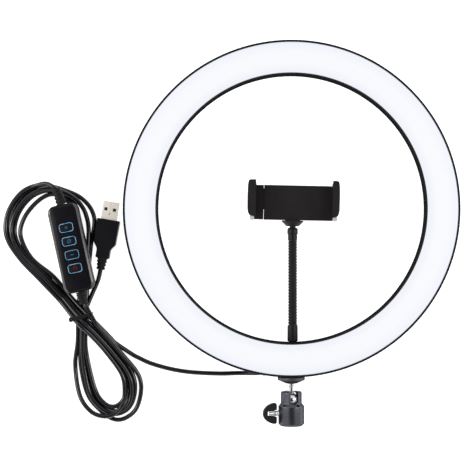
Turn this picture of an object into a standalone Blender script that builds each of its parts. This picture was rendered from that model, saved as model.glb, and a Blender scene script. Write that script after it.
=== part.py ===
"""A 26 cm LED ring light laid flat on its back, with its ball head, gooseneck,
sprung phone clamp, in-line remote, USB plug and tied hank of cord.

+Z is the way the light shines and +Y runs from the ball head to the top of the
ring. Lengths are written in millimetres and become metres in new_object.
"""
import math

import bmesh
import bpy
from mathutils import Euler, Matrix, Vector

MM = 0.001
GAP = 0.3
ALONG_Y = (-90, 0, 0)
UPRIGHT = (0, 0, 0)

# Ring
RING_Y = 19.2
RING_R = 130.0
HOLE_R = 104.0
RIM_Z = 21.6
RIM_WALL = 0.8
LEDGE_Z = 19.8
BOARD_Z = 4.0
RING_STEPS = 72
AXIS_Z = 11.0
MOUNT_PAD_Y = -131.0
SCREW_ANGLES = (30, 120, 210, 330)
CABLE_BOOT = ((0, 0), (2.3, 0), (2.3, 3.9), (2.9, 4.2), (2.9, 5.5), (2.0, 18.4), (0, 18.4))
BOOT_AT = (-5.5, -127.2, 4.4)
BOOT_TURN = (0, -90, 3)
BOARD_SCREW_R = 109.3

# Ball head, heights measured from the ball's centre towards the ring
BALL_Y = -148.1
BALL_R = 6.2
CAVITY_R = 6.5
CUP_R = 7.0
POCKET_R = 7.3
SLOT_TURN = 16.0
SLOT_WIDTH = 6.5
HEAD_R = 10.05
NECK_R = 8.15
HEAD_BOTTOM = -20.4
CLAMP_SCREW_H = -10.3
PAD_R = 3.6

# Gooseneck
ARM_X = 1.0
LINKS = 8
LINK_FIRST_Y = -89.4
LINK_LENGTH = 8.09
LINK_R = 3.4
LINK_CONE = 0.45

# Phone clamp, measured from its ball's centre
CLAMP_BALL_Y = -8.2
CLAMP_BALL_R = 4.2
CLAMP_TURN = -1.2
PLATE_LEFT, PLATE_RIGHT = -22.5, 31.3
PLATE_BOTTOM, PLATE_TOP = -0.5, 25.8
PLATE_HALF = 6.0
JAW_BOTTOM, JAW_TOP = 1.5, 29.5
JAW_FRONT = 18.0
JAW_OUTER = (-34.9, 36.0)
SPRING_YS = (11.5, 19.5)

# Cord and what is on it, measured from the frame's origin
CORD_D = 3.6
REMOTE_AT = (-170.5, -11.6, 13.0)
REMOTE_TURN = 11.0
REMOTE_SIZE = (24.0, 69.0)
BUTTON_SIZE = (11.6, 7.7)
BUTTON_YS = {"plus": 16.2, "mode": 5.5, "minus": -5.2, "power": -15.9}
PLUG_AT = (-149.0, -27.6, 4.3)
PLUG_TURN = -9.5
RING_LEAD = (
    (-24.2, -109.0, 4.4), (-28.5, -109.2, 4.2), (-33, -109.3, 3.2), (-38, -109.4, 2.2),
    (-44, -109.5, 1.9), (-54, -109.8, 1.9), (-66, -109.5, 1.9), (-79.5, -108.6, 1.9),
    (-91, -106.9, 1.9), (-101.5, -104.4, 1.9), (-111.2, -101.3, 1.9), (-119.5, -97.4, 1.9),
    (-124.5, -94.7, 1.9),
)
REMOTE_LEAD = ((-185.6, 36.7, 13.0), (-188.5, 38.3, 12.0), (-192, 38.9, 10.4), (-196, 38.2, 9.0))
PLUG_LEAD = (
    (-149.1, -28.0, 4.3), (-149.8, -31.5, 3.6), (-150.8, -35, 2.6), (-152, -38.4, 2.0),
    (-153.2, -41.2, 1.9),
)
# Cross-sections of the hank in the order that the cord runs through it: left edge,
# right edge, and how far the strands are lifted there by what they pass over.
HANK = (
    ((-132, -125), (-115.5, -122), 0), ((-134, -111), (-119, -107), 0),
    ((-145, -94.5), (-133, -88), 2.5), ((-157, -80), (-147.5, -71.5), 7.6),
    ((-167, -70.5), (-158, -61), 9.4), ((-181, -55), (-172.5, -47), 0.7),
    ((-196.5, -38.5), (-185, -32.5), 1), ((-214, -19.5), (-201.5, -19.5), 0),
    ((-224.5, -1.5), (-210, -2.5), 0), ((-223, 17.5), (-207.5, 11), 0),
    ((-211.5, 34), (-198.5, 23), 0), ((-195, 40), (-188.5, 29), 0),
    ((-179.5, 38), (-180, 27), 0), ((-163.5, 29), (-172, 20), 0),
    ((-154, 13.5), (-167, 8.5), 0), ((-154.5, -10), (-166, -10), 0),
    ((-156, -37), (-166, -37), 0.6), ((-157.5, -62), (-168.5, -62), 2.0),
    ((-159, -85.5), (-169, -84), 0.6), ((-156, -104.5), (-171, -104.5), 0),
    ((-150.5, -124), (-166, -129), 0), ((-144, -132), (-152.5, -144), 0),
    ((-138.5, -133.5), (-136, -148.5), 0), ((-134, -130.5), (-121, -140), 0),
)
HANK_STEPS = 3
STRANDS = 6
TIE_Y = -62.4
TIE_BOX = ((-178.2, -152.6), (0.1, 18.6))
TIE_WIDTH = 3.4

MATERIALS = {
    "black_plastic": ((0.018, 0.018, 0.020), 0.45, 0.0),
    "white_diffuser": ((0.86, 0.87, 0.92), 0.45, 0.0),
    "board": ((0.75, 0.76, 0.74), 0.5, 0.0),
    "steel": ((0.62, 0.62, 0.63), 0.3, 1.0),
    "chrome": ((0.80, 0.80, 0.82), 0.12, 1.0),
    "brass": ((0.65, 0.48, 0.20), 0.35, 1.0),
    "anodised": ((0.045, 0.046, 0.052), 0.35, 0.8),
    "rubber": ((0.020, 0.020, 0.022), 0.7, 0.0),
    "cord": ((0.017, 0.016, 0.020), 0.5, 0.0),
    "grey_plastic": ((0.45, 0.46, 0.47), 0.5, 0.0),
    "nylon": ((0.80, 0.79, 0.74), 0.5, 0.0),
    "green_board": ((0.02, 0.16, 0.07), 0.4, 0.0),
}


def clear_scene():
    for obj in list(bpy.data.objects):
        bpy.data.objects.remove(obj, do_unlink=True)


def material(name):
    found = bpy.data.materials.get(name)
    if found:
        return found
    colour, roughness, metallic = MATERIALS[name]
    made = bpy.data.materials.new(name)
    made.use_nodes = True
    shader = made.node_tree.nodes["Principled BSDF"]
    shader.inputs["Base Color"].default_value = (*colour, 1)
    shader.inputs["Roughness"].default_value = roughness
    shader.inputs["Metallic"].default_value = metallic
    made.diffuse_color = (*colour, 1)
    return made


def frame_empty(name, at, turn=UPRIGHT, parent=None):
    """An empty that others are placed from; at is in mm and turn in degrees."""
    empty = bpy.data.objects.new(name, None)
    bpy.context.scene.collection.objects.link(empty)
    place(empty, at, turn, parent)
    return empty


def place(obj, at, turn, parent):
    obj.location = Vector(at) * MM
    obj.rotation_euler = Euler([math.radians(angle) for angle in turn])
    obj.parent = parent


def new_object(name, bm, finish, parent, at=(0, 0, 0), turn=UPRIGHT):
    """Turns a bmesh drawn in millimetres into an object of its own."""
    bmesh.ops.remove_doubles(bm, verts=bm.verts, dist=0.002)
    bmesh.ops.recalc_face_normals(bm, faces=bm.faces)
    bmesh.ops.scale(bm, vec=(MM, MM, MM), verts=bm.verts)
    mesh = bpy.data.meshes.new(name)
    bm.to_mesh(mesh)
    bm.free()
    mesh.materials.append(material(finish))
    mesh.shade_smooth()
    mesh.set_sharp_from_angle(angle=math.radians(35))
    obj = bpy.data.objects.new(name, mesh)
    bpy.context.scene.collection.objects.link(obj)
    place(obj, at, turn, parent)
    return obj


def turned(name, profile, finish, parent, at=(0, 0, 0), turn=UPRIGHT, steps=24, sweep=360):
    """A solid of revolution about local Z from (radius, height) points. A profile
    with points on the axis runs from axis to axis, and any other is a closed loop."""
    bm = bmesh.new()
    verts = [bm.verts.new((radius, 0, height)) for radius, height in profile]
    on_axis = profile[0][0] == 0
    if sweep < 360:
        start = [bm.faces.new(verts)]
    else:
        start = [bm.edges.new(pair) for pair in zip(verts, verts[1:])]
        if not on_axis:
            start.append(bm.edges.new((verts[-1], verts[0])))
    bmesh.ops.spin(
        bm, geom=verts + start, cent=(0, 0, 0), axis=(0, 0, 1),
        angle=math.radians(sweep), steps=steps, use_merge=sweep == 360,
    )
    return new_object(name, bm, finish, parent, at, turn)


def block(name, low, high, finish, parent, at=(0, 0, 0), turn=UPRIGHT, bevel=0.0):
    """A box between two corners, with its edges cut by bevel."""
    bm = bmesh.new()
    size = Vector(high) - Vector(low)
    middle = (Vector(high) + Vector(low)) / 2
    bmesh.ops.create_cube(bm, matrix=Matrix.Translation(middle) @ Matrix.Diagonal((*size, 1)))
    if bevel:
        bmesh.ops.bevel(bm, geom=bm.edges, offset=bevel, segments=1, affect="EDGES")
    return new_object(name, bm, finish, parent, at, turn)


def prism(name, outline, thickness, finish, parent, at=(0, 0, 0), turn=UPRIGHT):
    """A flat outline thickened evenly to both sides of its plane."""
    bm = bmesh.new()
    face = bm.faces.new([bm.verts.new((x, y, -thickness / 2)) for x, y in outline])
    grown = bmesh.ops.extrude_face_region(bm, geom=[face])["geom"]
    moved = [item for item in grown if isinstance(item, bmesh.types.BMVert)]
    bmesh.ops.translate(bm, vec=(0, 0, thickness), verts=moved)
    return new_object(name, bm, finish, parent, at, turn)


def arc(centre, radius, first, last, count):
    """Points (x, y) on an arc, from the first to the last angle in degrees."""
    angles = [math.radians(first + (last - first) * i / (count - 1)) for i in range(count)]
    return [(centre[0] + radius * math.cos(a), centre[1] + radius * math.sin(a)) for a in angles]


def smooth_points(points, spacing, closed=False):
    """Points about spacing apart on a Catmull-Rom curve through the given ones."""
    known = [Vector(point) for point in points]
    count = len(known)
    made = []
    for i in range(count if closed else count - 1):
        if closed:
            a, b, c, d = (known[(i + k) % count] for k in (-1, 0, 1, 2))
        else:
            a, b, c, d = (known[min(max(i + k, 0), count - 1)] for k in (-1, 0, 1, 2))
        parts = max(1, round((c - b).length / spacing))
        for step in range(parts):
            t = step / parts
            made.append(0.5 * (2 * b + (c - a) * t + (2 * a - 5 * b + 4 * c - d) * t**2
                               + (3 * b - a - 3 * c + d) * t**3))
    return made if closed else made + [known[-1]]


def tube(name, points, diameter, finish, spacing):
    """A round cord through the points, with filled ends."""
    curve = bpy.data.curves.new(name, "CURVE")
    curve.dimensions = "3D"
    curve.bevel_depth = diameter / 2 * MM
    curve.bevel_resolution = 2
    curve.use_fill_caps = True
    route = smooth_points(points, spacing)
    spline = curve.splines.new("POLY")
    spline.points.add(len(route) - 1)
    for spot, point in zip(spline.points, route):
        spot.co = (*(point * MM), 1)
    curve.materials.append(material(finish))
    obj = bpy.data.objects.new(name, curve)
    bpy.context.scene.collection.objects.link(obj)
    return obj


def shape_with(target, operation, tools):
    """Cuts hidden tools from the target, or joins them to it."""
    for tool in tools:
        tool.hide_render = True
        tool.display_type = "WIRE"
        change = target.modifiers.new(tool.name, "BOOLEAN")
        change.operation = operation
        change.object = tool


def rod(name, radius, low, high, parent, at, turn, steps=20):
    """A plain cylinder used as a cutter, along local Z."""
    profile = [(0, high), (radius, high), (radius, low), (0, low)]
    return turned(name, profile, "steel", parent, at, turn, steps)


def grown(profile, margin):
    """A turned profile enlarged by margin all round, for the bore that takes it."""
    low, high = profile[0][1], profile[-1][1]
    made = []
    for radius, height in profile:
        end = -margin if height == low else margin if height == high else 0
        made.append((radius + margin if radius else 0, height + end))
    return made


def rear_shell(ring):
    """The channel-shaped housing, with the block that both mountings screw into."""
    profile = [
        (RING_R, RIM_Z), (RING_R, 17.5), (128.3, 9.5), (124.6, 4.2), (118.5, 0),
        (105.2, 0), (HOLE_R, 1.2), (HOLE_R, RIM_Z), (HOLE_R + RIM_WALL, RIM_Z),
        (HOLE_R + RIM_WALL, LEDGE_Z), (106, LEDGE_Z), (106, BOARD_Z - GAP),
        (110.5, BOARD_Z - GAP), (110.5, 2), (119.5, 2), (119.5, BOARD_Z - GAP),
        (122, BOARD_Z - GAP), (126.2, 10), (128, 17), (128, LEDGE_Z),
        (RING_R - RIM_WALL, LEDGE_Z), (RING_R - RIM_WALL, RIM_Z),
    ]
    shell = turned("rear_shell", profile, "black_plastic", ring, steps=RING_STEPS)
    mount = block("mount_block", (-9, MOUNT_PAD_Y, 0.8), (9, -104.6, 17.5), "black_plastic", ring)
    tools = [
        rod("head_bore", 4.8, -132, -120.9, ring, (0, 0, AXIS_Z), ALONG_Y),
        rod("arm_bore", 4.0, -112.6, -103, ring, (ARM_X, 0, AXIS_Z), ALONG_Y),
        turned("boot_bore", grown(CABLE_BOOT, GAP), "steel", ring, BOOT_AT, BOOT_TURN, 16),
        rod("lead_bore", 1.4, -1, 12, ring, (-7.0, -124.5, 4.6), (-90, 0, 28)),
    ]
    for angle in SCREW_ANGLES:
        tools.append(rod(f"shell_hole_{angle}", 1.3, 0.8, 5, ring, on_ring(angle), UPRIGHT, 8))
    shape_with(shell, "UNION", [mount])
    shape_with(shell, "DIFFERENCE", tools)


def on_ring(angle, radius=BOARD_SCREW_R):
    turn = math.radians(angle)
    return (radius * math.cos(turn), radius * math.sin(turn), 0)


def diffuser(ring):
    inner, outer = HOLE_R + RIM_WALL + GAP, RING_R - RIM_WALL - GAP
    bottom = LEDGE_Z + GAP
    profile = [
        (outer, bottom), (inner, bottom), (inner, 21.5), (inner + 0.9, 21.9),
        (inner + 7, 22.3), (outer - 7, 22.3), (outer - 0.9, 21.9), (outer, 21.5),
    ]
    turned("diffuser", profile, "white_diffuser", ring, steps=RING_STEPS)


def led_board(ring):
    """A C-shaped board, open at the mounting block, with a row of square LEDs."""
    top = BOARD_Z + 1.6
    chip_in, chip_out = 111.8, 116.6
    profile = [(107, BOARD_Z), (121, BOARD_Z), (121, top), (chip_out, top), (chip_in, top), (107, top)]
    board = turned("led_board", profile, "board", ring, turn=(0, 0, -80), steps=57, sweep=340)
    bm = bmesh.new()
    bm.from_mesh(board.data)
    lit = [face for face in bm.faces
           if face.normal.z > 0.9 and chip_in < face.calc_center_median().xy.length / MM < chip_out]
    lit.sort(key=lambda face: math.atan2(face.calc_center_median().y, face.calc_center_median().x))
    chips = lit[1:-1:2]
    bmesh.ops.inset_individual(bm, faces=chips, thickness=1.3 * MM)
    raised = bmesh.ops.extrude_discrete_faces(bm, faces=chips)["faces"]
    for face in raised:
        bmesh.ops.translate(bm, vec=(0, 0, 0.8 * MM), verts=face.verts)
    bm.to_mesh(board.data)
    bm.free()
    holes = [rod(f"board_hole_{angle}", 1.3, 3, 7, ring, on_ring(angle), UPRIGHT, 8)
             for angle in SCREW_ANGLES]
    shape_with(board, "DIFFERENCE", holes)
    for number, angle in enumerate(SCREW_ANGLES, 1):
        profile = [(0, 7.0), (1.2, 7.0), (1.7, 6.6), (1.7, 5.9), (1.0, 5.9), (1.0, 1.1), (0, 1.1)]
        turned(f"board_screw_{number}", profile, "steel", ring, on_ring(angle), steps=8)


def ring_fittings(ring):
    head = [(3.3, -130.7), (4.5, -130.7), (4.5, -121.2), (3.3, -121.2)]
    turned("head_insert", head, "brass", ring, (0, 0, AXIS_Z), ALONG_Y, 16)
    arm = [(3.0, -104.4), (3.7, -104.4), (3.7, -112.3), (3.0, -112.3)]
    turned("arm_insert", arm, "brass", ring, (ARM_X, 0, AXIS_Z), ALONG_Y, 16)
    turned("cable_boot", CABLE_BOOT, "rubber", ring, BOOT_AT, BOOT_TURN, 16)
    lead = [(-7.7, -104.0, 4.6), (-9.2, -101.2, 4.8), (-11, -97.9, 5.6), (-14.5, -94.8, 6.8), (-21, -93.5, 6.8)]
    tube("inner_lead", lead, 1.6, "cord", 2.5)


def ball_head(head):
    """The lock disc, ball stud and slotted housing, along the line of the ring's mount."""
    disc = [(3.3, 16.8), (10.0, 16.8), (10.45, 16.4), (10.45, 13.8), (3.8, 10.7), (3.3, 10.7)]
    turned("lock_disc", disc, "anodised", head, turn=ALONG_Y, steps=32)
    stud = [(0, 26.6), (2.6, 26.6), (3.0, 26.0), (3.0, 10.6), (2.45, 10.3)]
    stud += arc((0, 0), BALL_R, 66.7, -90, 13)
    stud[-1] = (0, -BALL_R)
    turned("ball_stud", stud, "chrome", head, turn=ALONG_Y)
    cup = arc((0, 0), CAVITY_R, -90, -52, 6) + arc((0, 0), CUP_R, -52, -90, 6)
    cup[0], cup[-1] = (0, -CAVITY_R), (0, -CUP_R)
    turned("ball_cup", cup, "nylon", head, turn=ALONG_Y)
    pad = turned("pressure_pad", [(0, -7.3), (PAD_R, -7.3), (PAD_R, -12.4), (0, -12.4)],
                 "steel", head, turn=ALONG_Y, steps=20)
    tip_hole = rod("tip_hole", 2.25, -2.2, 5, head, (0, CLAMP_SCREW_H, 0), (0, -90, 0), 16)
    shape_with(pad, "DIFFERENCE", [tip_hole])
    insert = [(3.3, -14.1), (4.3, -14.1), (4.3, -20.2), (3.3, -20.2)]
    turned("base_insert", insert, "brass", head, turn=ALONG_Y, steps=20)
    head_housing(head)


def head_housing(head):
    """Open at the neck over the ball, with a slot down one side for the stem."""
    pad_bore = PAD_R + GAP
    pocket_end = -math.degrees(math.acos(pad_bore / POCKET_R))
    profile = [(0, -12.7), (pad_bore, -12.7)]
    profile += arc((0, 0), POCKET_R, pocket_end, -33, 5)
    profile += arc((0, 0), CAVITY_R, -33, 41.5, 9)
    profile += [(5.45, 5.8), (7.6, 5.8), (NECK_R, 5.2), (NECK_R, -4.1), (HEAD_R, -6.5)]
    profile += [(HEAD_R, -19.3), (9.1, HEAD_BOTTOM), (0, HEAD_BOTTOM)]
    housing = turned("head_housing", profile, "anodised", head, turn=ALONG_Y, steps=36)
    half = SLOT_WIDTH / 2
    outline = [(half, 8), (-half, 8)] + arc((0, 0), half, 180, 360, 9)
    slot = prism("stem_slot", outline, 9, "steel", head, (0, 0, 6.5))
    screw_hole = rod("screw_hole", 2.2, 2, 12, head, (0, CLAMP_SCREW_H, 0), (0, -90, 0), 16)
    base_hole = rod("base_hole", 4.6, -21, -13.8, head, (0, 0, 0), ALONG_Y)
    shape_with(housing, "DIFFERENCE", [slot, screw_hole, base_hole])


def clamp_knob(knob):
    """The wing, and the screw that it drives against the pressure pad; local Z points out."""
    screw = [(0, -1), (0.6, -1), (1.9, 1.2), (1.9, 9.4), (1.3, 9.4), (1.3, 18.3), (0, 18.3)]
    turned("clamp_screw", screw, "chrome", knob, steps=16)
    turned("screw_sleeve", [(1.6, 10.4), (2.25, 10.4), (2.25, 14.3), (1.6, 14.3)], "steel", knob, steps=16)
    wing = [(12 + 10.9 * math.cos(a), 8.2 * math.sin(a))
            for a in (math.radians(angle) for angle in range(-90, 91, 15))]
    wing += [(12, 2.6), (14.6, 2.6), (14.6, 1.65), (19.3, 1.65)]
    wing += [(x, -y) for x, y in reversed(wing[-4:])]
    prism("wing_knob", wing, 3.4, "black_plastic", knob, turn=(0, -90, 0))


def gooseneck(arm):
    """Ferrules and the flexible neck, as short links that each bend a little."""
    lower = [(0, -112), (2.3, -112), (2.7, -111.5), (2.7, -103), (3.6, -103), (4.05, -102.5)]
    lower += [(4.05, -90.2), (0, -89.55)]
    turned("arm_ferrule_lower", lower, "anodised", arm, turn=ALONG_Y, steps=20)
    link = [(0, LINK_LENGTH - GAP / 2), (LINK_R, LINK_LENGTH - GAP / 2 - LINK_CONE)]
    link += [(LINK_R, GAP / 2 + LINK_CONE), (0, GAP / 2)]
    for number in range(LINKS):
        start = LINK_FIRST_Y + number * LINK_LENGTH
        turned(f"arm_link_{number + 1}", link, "rubber", arm, (0, start, 0), ALONG_Y, 16)
    end = LINK_FIRST_Y + LINKS * LINK_LENGTH
    upper = [(0, end + GAP / 2), (3.35, end + GAP / 2), (3.35, -19.9), (4.15, -19.9)]
    upper += [(4.15, -15.9), (3.15, -14.9), (1.7, -14.9)]
    upper += arc((0, CLAMP_BALL_Y), CLAMP_BALL_R, -66.1, 90, 11)
    upper[-1] = (0, CLAMP_BALL_Y + CLAMP_BALL_R)
    turned("arm_ferrule_upper", upper, "anodised", arm, turn=ALONG_Y, steps=20)


def clamp_body(clamp):
    """The fixed jaw and the hollow body that the sliding jaw runs in."""
    body = block("clamp_body", (PLATE_LEFT, PLATE_BOTTOM, -PLATE_HALF),
                 (PLATE_RIGHT, PLATE_TOP, PLATE_HALF), "black_plastic", clamp, bevel=0.6)
    jaw = block("fixed_jaw", (31.2, JAW_BOTTOM, -PLATE_HALF + 0.05), (JAW_OUTER[1], JAW_TOP, JAW_FRONT),
                "black_plastic", clamp, bevel=0.8)
    neck = rod("socket_neck", 5.9, -2.9, 0.4, clamp, (0, 0, 0), ALONG_Y, 24)
    socket = turned("socket", [(0, 5.2)] + arc((0, 0), 5.2, 80, -33.9, 10) + [(4.316, -4), (0, -4)],
                    "steel", clamp, turn=ALONG_Y)
    rail_room = block("rail_room", (-24, 7, -7), (28.6, 24, 3.5), "steel", clamp)
    shape_with(body, "UNION", [jaw, neck])
    shape_with(body, "DIFFERENCE", [socket, rail_room])
    block("clamp_back_cover", (-22.2, 7.3, -PLATE_HALF), (28.3, 23.7, -4.2), "black_plastic", clamp)
    liner = arc((0, 0), 4.5, 90, 15, 7) + arc((0, 0), 4.9, 15, 90, 7)
    liner[0], liner[-1] = (0, 4.5), (0, 4.9)
    turned("socket_liner", liner, "nylon", clamp, turn=ALONG_Y, steps=20)
    collar = [(6.2, -0.9), (8.1, -0.9), (8.35, -1.2), (8.35, -1.9), (4.9, -5.4)]
    collar += [(4.1, -5.4), (4.1, -4.7), (6.2, -3.2)]
    turned("lock_collar", collar, "black_plastic", clamp, turn=ALONG_Y, steps=32)


def clamp_jaws(clamp):
    """The sliding jaw with its tongue, its springs, and the pads and feet of both jaws."""
    wall = block("slide_jaw", (JAW_OUTER[0], JAW_BOTTOM, -PLATE_HALF), (-29.9, JAW_TOP, JAW_FRONT),
                 "black_plastic", clamp, bevel=0.8)
    carrier = block("carrier", (-30.2, PLATE_BOTTOM + 0.1, -PLATE_HALF + 0.05),
                    (PLATE_LEFT - GAP, PLATE_TOP - 0.1, PLATE_HALF - 0.05), "black_plastic", clamp, bevel=0.5)
    tongue = block("tongue", (-24, 7.4, -3.8), (13, 23.6, 3.2), "black_plastic", clamp)
    shape_with(wall, "UNION", [carrier, tongue])
    for number, y in enumerate(SPRING_YS, 1):
        coil = [(0, 13.3), (1.8, 13.3), (1.8, 28.3), (0, 28.3)]
        turned(f"jaw_spring_{number}", coil, "steel", clamp, (0, y, -0.3), (0, 90, 0), 12)
    for side, x in (("left", -29.6), ("right", 30.0)):
        block(f"jaw_pad_{side}", (x, 3, 7), (x + 1.0, 28, 17), "rubber", clamp)
    for side, x in (("left", -34.4), ("right", 32.0)):
        block(f"jaw_foot_{side}", (x, -1.2, 8.5), (x + 3.6, 1.2, 17), "grey_plastic", clamp, bevel=0.5)


def remote_control(remote):
    """A two-part case with a board and four buttons, and a boot at each end."""
    half_x, half_y = (side / 2 for side in REMOTE_SIZE)
    lower = block("remote_lower", (-half_x, -half_y, -5), (half_x, half_y, 0), "black_plastic", remote, bevel=1.0)
    tray = block("tray_room", (-10.4, -32.9, -1.5), (10.4, 32.9, 1), "steel", remote)
    shape_with(lower, "DIFFERENCE", [tray])
    block("remote_board", (-10, -32, -1.2), (10, 32, 0), "green_board", remote)
    face = block("remote_face", (-half_x, -half_y, GAP), (half_x, half_y, 5), "black_plastic", remote, bevel=1.1)
    tools = [block("face_room", (-10.4, -32.9, -1), (10.4, 32.9, 3.2), "steel", remote)]
    wide, tall = (side / 2 for side in BUTTON_SIZE)
    for label, y in BUTTON_YS.items():
        hole = block(f"hole_{label}", (-wide - GAP, y - tall - GAP, 2), (wide + GAP, y + tall + GAP, 6),
                     "steel", remote)
        tools.append(hole)
        block(f"button_{label}", (-wide, y - tall, 0.9), (wide, y + tall, 5.2), "black_plastic", remote)
    shape_with(face, "DIFFERENCE", tools)
    for end, side, length, lean in (("upper", 1, 13.0, 9), ("lower", -1, 9.6, 5)):
        boot = [(0, 0.9), (3.6, 0.9), (2.3, length), (0, length)]
        turned(f"remote_boot_{end}", boot, "rubber", remote, (0, side * half_y, 0),
               (-90 * side, 0, lean), 16)


def usb_plug(plug):
    """The plug lies along local Y, from its cord end to its metal shell."""
    boot = [(0, 0), (2.6, 0), (3.7, 8.6), (0, 8.6)]
    turned("plug_boot", boot, "rubber", plug, turn=ALONG_Y, steps=16)
    outline = [(5, 8.9), (5, 17.4), (8.5, 21), (8.7, 38)]
    outline += [(-x, y) for x, y in reversed(outline)]
    prism("plug_grip", outline, 8.0, "black_plastic", plug)
    shell = block("usb_shell", (-6.3, 38.3, -2.35), (6.3, 52.4, 2.35), "steel", plug)
    room = block("usb_room", (-5.9, 39, -1.95), (5.9, 53, 1.95), "steel", plug)
    shape_with(shell, "DIFFERENCE", [room])
    block("usb_tongue", (-5.5, 39.3, -0.2), (5.5, 51.5, 1.6), "nylon", plug)


def hank():
    """The tied figure of eight of cord, as one closed band that passes over itself."""
    lefts = smooth_stations([(*left, lift) for left, _, lift in HANK])
    rights = smooth_stations([(*right, lift) for _, right, lift in HANK])
    bm = bmesh.new()
    rings = []
    for left, right in zip(lefts, rights):
        pitch = ((right - left).xy.length - CORD_D) / (STRANDS - 1)
        height = CORD_D + math.sqrt(max(0, CORD_D**2 - pitch**2))
        corners = (left, right, right + Vector((0, 0, height)), left + Vector((0, 0, height)))
        rings.append([bm.verts.new(corner) for corner in corners])
    for here, there in zip(rings, rings[1:] + rings[:1]):
        for k in range(4):
            n = (k + 1) % 4
            bm.faces.new((here[k], here[n], there[n], there[k]))
    new_object("cord_hank", bm, "cord", None)


def smooth_stations(points):
    """HANK_STEPS points to each station of the hank, on one smooth closed curve."""
    known = [Vector(point) for point in points]
    made = []
    for i in range(len(known)):
        a, b, c, d = (known[(i + k) % len(known)] for k in (-1, 0, 1, 2))
        for step in range(HANK_STEPS):
            t = step / HANK_STEPS
            point = 0.5 * (2 * b + (c - a) * t + (2 * a - 5 * b + 4 * c - d) * t**2
                           + (3 * b - a - 3 * c + d) * t**3)
            point.z = max(point.z, 0.05)
            made.append(point)
    return made


def cords():
    tube("ring_lead", RING_LEAD, CORD_D, "cord", 8)
    tube("remote_lead", REMOTE_LEAD, CORD_D, "cord", 4)
    tube("plug_lead", PLUG_LEAD, CORD_D, "cord", 4)
    hank()
    (low_x, high_x), (low_z, high_z) = TIE_BOX
    low, high = (low_x, TIE_Y - TIE_WIDTH / 2, low_z), (high_x, TIE_Y + TIE_WIDTH / 2, high_z)
    tie = block("twist_tie", low, high, "rubber", None)
    wall = 1.1
    room = block("tie_room", (low_x + wall, low[1] - 1, low_z + wall),
                 (high_x - wall, high[1] + 1, high_z - wall), "steel", None)
    shape_with(tie, "DIFFERENCE", [room])


def ring_light():
    ring = frame_empty("ring_frame", (0, RING_Y, 0))
    rear_shell(ring)
    diffuser(ring)
    led_board(ring)
    ring_fittings(ring)
    head = frame_empty("head_frame", (0, BALL_Y, AXIS_Z), (0, SLOT_TURN, 0), ring)
    ball_head(head)
    knob = frame_empty("knob_frame", (0, CLAMP_SCREW_H, 0), (0, -90, 0), head)
    clamp_knob(knob)
    arm = frame_empty("arm_frame", (ARM_X, 0, AXIS_Z), parent=ring)
    gooseneck(arm)
    clamp = frame_empty("clamp_frame", (0, CLAMP_BALL_Y, 0), (0, 0, CLAMP_TURN), arm)
    clamp_body(clamp)
    clamp_jaws(clamp)
    remote_control(frame_empty("remote_frame", REMOTE_AT, (0, 0, REMOTE_TURN)))
    usb_plug(frame_empty("plug_frame", PLUG_AT, (0, 0, PLUG_TURN)))
    cords()


clear_scene()
ring_light()
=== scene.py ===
"""Looks for the ring light: smooth meshes, finishes, cords, floor, light and camera.

Lengths are in millimetres until new_piece or round_curve turns them into metres.
Each group of pieces is drawn in the frame of its own sub-assembly.
"""
import math

import bmesh
import bpy
from mathutils import Matrix, Vector


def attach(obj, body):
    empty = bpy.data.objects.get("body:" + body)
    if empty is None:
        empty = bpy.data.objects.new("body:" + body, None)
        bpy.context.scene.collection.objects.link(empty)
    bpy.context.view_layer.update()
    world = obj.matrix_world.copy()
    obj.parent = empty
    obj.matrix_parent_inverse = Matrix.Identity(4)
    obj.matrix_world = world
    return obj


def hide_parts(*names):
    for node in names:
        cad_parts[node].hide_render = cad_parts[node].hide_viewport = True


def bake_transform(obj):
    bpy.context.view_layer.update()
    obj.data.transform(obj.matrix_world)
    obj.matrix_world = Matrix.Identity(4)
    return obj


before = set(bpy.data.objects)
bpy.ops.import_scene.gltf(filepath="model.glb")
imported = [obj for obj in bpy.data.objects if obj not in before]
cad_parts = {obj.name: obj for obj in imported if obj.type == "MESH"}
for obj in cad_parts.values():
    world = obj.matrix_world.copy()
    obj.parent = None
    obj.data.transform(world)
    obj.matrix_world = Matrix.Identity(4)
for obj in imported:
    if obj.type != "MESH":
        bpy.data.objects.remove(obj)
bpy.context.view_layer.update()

MM = 0.001
GAP = 0.3

# Ring
RING_Y = 19.2
RING_R = 130.0
HOLE_R = 104.0
RIM_Z = 21.6
RIM_WALL = 0.8
OUTER_RIM_WALL = 1.6
LEDGE_Z = 19.8
AXIS_Z = 11.0
ROUND_STEPS = 192

# Ball head
BALL_Y = -148.1
BALL_R = 6.2
CAVITY_R = 6.5
POCKET_R = 7.3
PAD_R = 3.6
NECK_R = 8.15
HEAD_R = 10.05
HEAD_BOTTOM = -20.4
SLOT_TURN = 16.0
SLOT_WIDTH = 6.5
CLAMP_SCREW_H = -10.3
SET_SCREW_H = -6.6
SET_SCREW_FACING = (0.295, 0.25, 0.956)

# Gooseneck
ARM_X = 1.0
LINKS = 8
LINK_FIRST_Y = -89.4
LINK_LENGTH = 8.09
COIL_CORE_R = 3.15
COIL_RIDGE = 0.45
COIL_PITCH = 2.3

# Phone clamp
CLAMP_BALL_Y = -8.2
CLAMP_BALL_R = 4.2
CLAMP_TURN = -1.2
PLATE_LEFT, PLATE_RIGHT = -22.5, 31.3
PLATE_BOTTOM, PLATE_TOP = -0.65, 26.2
PLATE_HALF = 6.0
JAW_BOTTOM, JAW_TOP = 2.0, 29.9
JAW_FRONT = 18.0
JAW_INNER = (29.9, 31.25)
JAW_OUTER = (35.2, 35.5)
LIP_INNER = (28.7, 30.0)
LIP_LOW = 17.15

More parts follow.
